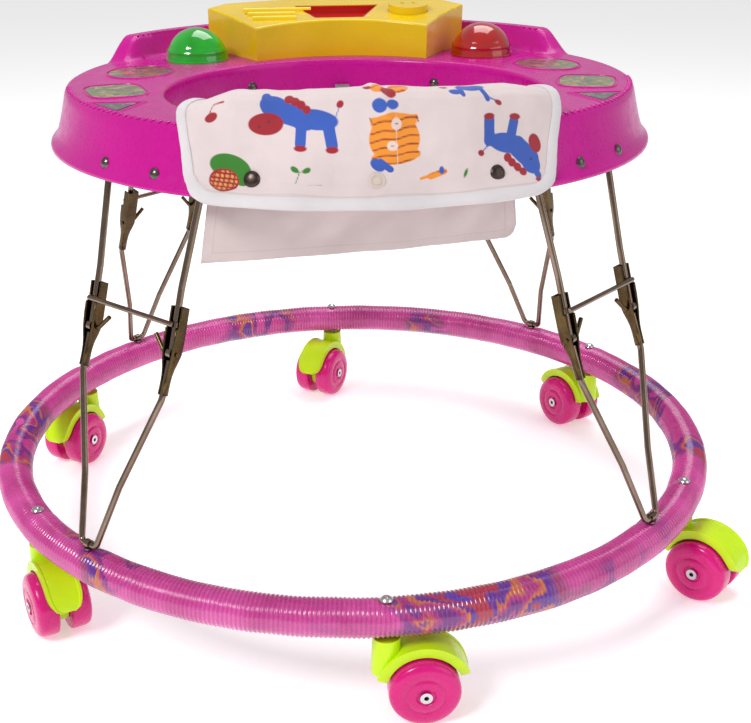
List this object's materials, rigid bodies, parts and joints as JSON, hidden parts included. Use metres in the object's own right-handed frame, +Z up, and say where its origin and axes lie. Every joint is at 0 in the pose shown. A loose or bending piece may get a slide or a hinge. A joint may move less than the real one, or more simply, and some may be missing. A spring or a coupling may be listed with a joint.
{
  "type": "baby walker",
  "caption": "Round folding baby walker: wire legs on a padded floor ring with swivel casters carry a ring tray with toys, a cloth seat and a printed back flap.",
  "frame": {"origin": "on the floor under the middle of the floor ring", "axes": "+Z up, +Y toward the toy side, -Y toward the side the back rests on, +X to the right seen from behind"},
  "size_m": [0.6075, 0.6164, 0.4257],
  "materials": {
    "tube_steel": "plated steel tube",
    "sleeve_print": "ribbed plastic sleeve with a printed pink film",
    "bright_steel": "bright zinc plated steel",
    "bronze_wire": "brushed wire with a bronze tint",
    "bronze_sheet": "folded sheet steel with a yellow passivate",
    "hood_lime": "moulded lime plastic",
    "wheel_magenta": "moulded magenta plastic",
    "tray_magenta": "glossy magenta moulding",
    "screw_dark": "domed plated screw",
    "saddle_steel": "plated strip steel",
    "lens_green": "clear green plastic",
    "lens_red": "clear red plastic",
    "lamp_white": "small lamp",
    "panel_yellow": "moulded yellow plastic",
    "scoop_red": "moulded red plastic",
    "cell_skin": "dry cell jacket",
    "speaker_dark": "speaker frame",
    "board_green": "circuit board",
    "sticker_foil": "foil label",
    "seat_cloth": "plain white woven cloth",
    "flap_cloth": "printed white cloth",
    "snap_dark": "press snap"
  },
  "bodies": {
    "root": {"ring_tube": "tube_steel", "ring_sleeve": "sleeve_print", "caster_bolts": "bright_steel", "leg_eye_bolts": "bright_steel"},
    "tray": {"tray_shell": "tray_magenta", "tray_screws": "screw_dark", "leg_saddles": "saddle_steel", "dome_green": "lens_green", "dome_red": "lens_red", "dome_lamps": "lamp_white", "toy_panel": "panel_yellow", "toy_scoop": "scoop_red", "battery_cells": "cell_skin", "speaker": "speaker_dark", "circuit_board": "board_green", "tray_stickers": "sticker_foil", "seat_sling": "seat_cloth", "seat_hem": "seat_cloth", "seat_clip": "saddle_steel", "back_flap": "flap_cloth", "flap_snaps": "snap_dark"},
    "button": {"toy_button": "panel_yellow"},
    "lower_strut_1": {"lower_wire_1": "bronze_wire", "knee_channels_1": "bronze_sheet", "knee_pins_1": "bronze_wire"},
    "upper_strut_1": {"upper_wire_1": "bronze_wire"},
    "lock_1": {"lock_bar_1": "bronze_wire"},
    "lower_strut_2": {"lower_wire_2": "bronze_wire", "knee_channels_2": "bronze_sheet", "knee_pins_2": "bronze_wire"},
    "upper_strut_2": {"upper_wire_2": "bronze_wire"},
    "lock_2": {"lock_bar_2": "bronze_wire"},
    "lower_strut_3": {"lower_wire_3": "bronze_wire", "knee_channels_3": "bronze_sheet", "knee_pins_3": "bronze_wire"},
    "upper_strut_3": {"upper_wire_3": "bronze_wire"},
    "lock_3": {"lock_bar_3": "bronze_wire"},
    "lower_strut_4": {"lower_wire_4": "bronze_wire", "knee_channels_4": "bronze_sheet", "knee_pins_4": "bronze_wire"},
    "upper_strut_4": {"upper_wire_4": "bronze_wire"},
    "lock_4": {"lock_bar_4": "bronze_wire"},
    "caster_1": {"caster_hood_1": "hood_lime"},
    "wheels_1": {"caster_wheels_1": "wheel_magenta", "caster_axle_1": "bright_steel"},
    "caster_2": {"caster_hood_2": "hood_lime"},
    "wheels_2": {"caster_wheels_2": "wheel_magenta", "caster_axle_2": "bright_steel"},
    "caster_3": {"caster_hood_3": "hood_lime"},
    "wheels_3": {"caster_wheels_3": "wheel_magenta", "caster_axle_3": "bright_steel"},
    "caster_4": {"caster_hood_4": "hood_lime"},
    "wheels_4": {"caster_wheels_4": "wheel_magenta", "caster_axle_4": "bright_steel"},
    "caster_5": {"caster_hood_5": "hood_lime"},
    "wheels_5": {"caster_wheels_5": "wheel_magenta", "caster_axle_5": "bright_steel"},
    "caster_6": {"caster_hood_6": "hood_lime"},
    "wheels_6": {"caster_wheels_6": "wheel_magenta", "caster_axle_6": "bright_steel"}
  },
  "joints": [
    {"name": "fold", "type": "slide", "parent": "root", "child": "tray", "axis": [0, 0, -1], "range_m": [0, 0.12355]},
    {"name": "base_hinge_1", "type": "hinge", "parent": "root", "child": "lower_strut_1", "pos_m": [-0.20506, -0.20506, 0.0946], "axis": [-0.7071, 0.7071, 0], "range_deg": [-0.5, 59.46]},
    {"name": "knee_hinge_1", "type": "hinge", "parent": "lower_strut_1", "child": "upper_strut_1", "pos_m": [-0.16688, -0.16688, 0.235], "axis": [-0.7071, 0.7071, 0], "range_deg": [-104.92, 0.5]},
    {"name": "lock_slide_1", "type": "slide", "parent": "upper_strut_1", "child": "lock_1", "axis": [0.208, 0.208, 0.9558], "range_m": [0, 0.018]},
    {"name": "base_hinge_2", "type": "hinge", "parent": "root", "child": "lower_strut_2", "pos_m": [0.20506, -0.20506, 0.0946], "axis": [-0.7071, -0.7071, 0], "range_deg": [-0.5, 59.46]},
    {"name": "knee_hinge_2", "type": "hinge", "parent": "lower_strut_2", "child": "upper_strut_2", "pos_m": [0.16688, -0.16688, 0.235], "axis": [-0.7071, -0.7071, 0], "range_deg": [-104.92, 0.5]},
    {"name": "lock_slide_2", "type": "slide", "parent": "upper_strut_2", "child": "lock_2", "axis": [-0.208, 0.208, 0.9558], "range_m": [0, 0.018]},
    {"name": "base_hinge_3", "type": "hinge", "parent": "root", "child": "lower_strut_3", "pos_m": [0.20506, 0.20506, 0.0946], "axis": [0.7071, -0.7071, 0], "range_deg": [-0.5, 59.46]},
    {"name": "knee_hinge_3", "type": "hinge", "parent": "lower_strut_3", "child": "upper_strut_3", "pos_m": [0.16688, 0.16688, 0.235], "axis": [0.7071, -0.7071, 0], "range_deg": [-104.92, 0.5]},
    {"name": "lock_slide_3", "type": "slide", "parent": "upper_strut_3", "child": "lock_3", "axis": [-0.208, -0.208, 0.9558], "range_m": [0, 0.018]},
    {"name": "base_hinge_4", "type": "hinge", "parent": "root", "child": "lower_strut_4", "pos_m": [-0.20506, 0.20506, 0.0946], "axis": [0.7071, 0.7071, 0], "range_deg": [-0.5, 59.46]},
    {"name": "knee_hinge_4", "type": "hinge", "parent": "lower_strut_4", "child": "upper_strut_4", "pos_m": [-0.16688, 0.16688, 0.235], "axis": [0.7071, 0.7071, 0], "range_deg": [-104.92, 0.5]},
    {"name": "lock_slide_4", "type": "slide", "parent": "upper_strut_4", "child": "lock_4", "axis": [0.208, -0.208, 0.9558], "range_m": [0, 0.018]},
    {"name": "caster_swivel_1", "type": "hinge", "parent": "root", "child": "caster_1", "pos_m": [0, -0.29, 0.06], "axis": [0, 0, 1], "continuous": true},
    {"name": "wheel_spin_1", "type": "hinge", "parent": "caster_1", "child": "wheels_1", "pos_m": [0.025, -0.29, 0.025], "axis": [0, 1, 0], "continuous": true},
    {"name": "caster_swivel_2", "type": "hinge", "parent": "root", "child": "caster_2", "pos_m": [0.25115, -0.145, 0.06], "axis": [0, 0, 1], "continuous": true},
    {"name": "wheel_spin_2", "type": "hinge", "parent": "caster_2", "child": "wheels_2", "pos_m": [0.26882, -0.16268, 0.025], "axis": [0.7071, 0.7071, 0], "continuous": true},
    {"name": "caster_swivel_3", "type": "hinge", "parent": "root", "child": "caster_3", "pos_m": [0.25115, 0.145, 0.06], "axis": [0, 0, 1], "continuous": true},
    {"name": "wheel_spin_3", "type": "hinge", "parent": "caster_3", "child": "wheels_3", "pos_m": [0.23941, 0.16707, 0.025], "axis": [-0.8829, -0.4695, 0], "continuous": true},
    {"name": "caster_swivel_4", "type": "hinge", "parent": "root", "child": "caster_4", "pos_m": [0, 0.29, 0.06], "axis": [0, 0, 1], "continuous": true},
    {"name": "wheel_spin_4", "type": "hinge", "parent": "caster_4", "child": "wheels_4", "pos_m": [-0.01325, 0.2688, 0.025], "axis": [0.848, -0.5299, 0], "continuous": true},
    {"name": "caster_swivel_5", "type": "hinge", "parent": "root", "child": "caster_5", "pos_m": [-0.25115, 0.145, 0.06], "axis": [0, 0, 1], "continuous": true},
    {"name": "wheel_spin_5", "type": "hinge", "parent": "caster_5", "child": "wheels_5", "pos_m": [-0.26365, 0.12335, 0.025], "axis": [0.866, -0.5, 0], "continuous": true},
    {"name": "caster_swivel_6", "type": "hinge", "parent": "root", "child": "caster_6", "pos_m": [-0.25115, -0.145, 0.06], "axis": [0, 0, 1], "continuous": true},
    {"name": "wheel_spin_6", "type": "hinge", "parent": "caster_6", "child": "wheels_6", "pos_m": [-0.24058, -0.16766, 0.025], "axis": [0.9063, 0.4226, 0], "continuous": true},
    {"name": "button_press", "type": "slide", "parent": "tray", "child": "button", "axis": [0, 0.1271, -0.9919], "range_m": [0, 0.0025], "stiffness_N_per_m": 400, "springref_m": -0.001}
  ],
  "couplings": [
    {"joint": "base_hinge_1", "follows": "fold", "rad_per_m": 8.3293},
    {"joint": "knee_hinge_1", "follows": "fold", "rad_per_m": -14.751},
    {"joint": "base_hinge_2", "follows": "fold", "rad_per_m": 8.3293},
    {"joint": "knee_hinge_2", "follows": "fold", "rad_per_m": -14.751},
    {"joint": "base_hinge_3", "follows": "fold", "rad_per_m": 8.3293},
    {"joint": "knee_hinge_3", "follows": "fold", "rad_per_m": -14.751},
    {"joint": "base_hinge_4", "follows": "fold", "rad_per_m": 8.3293},
    {"joint": "knee_hinge_4", "follows": "fold", "rad_per_m": -14.751}
  ]
}
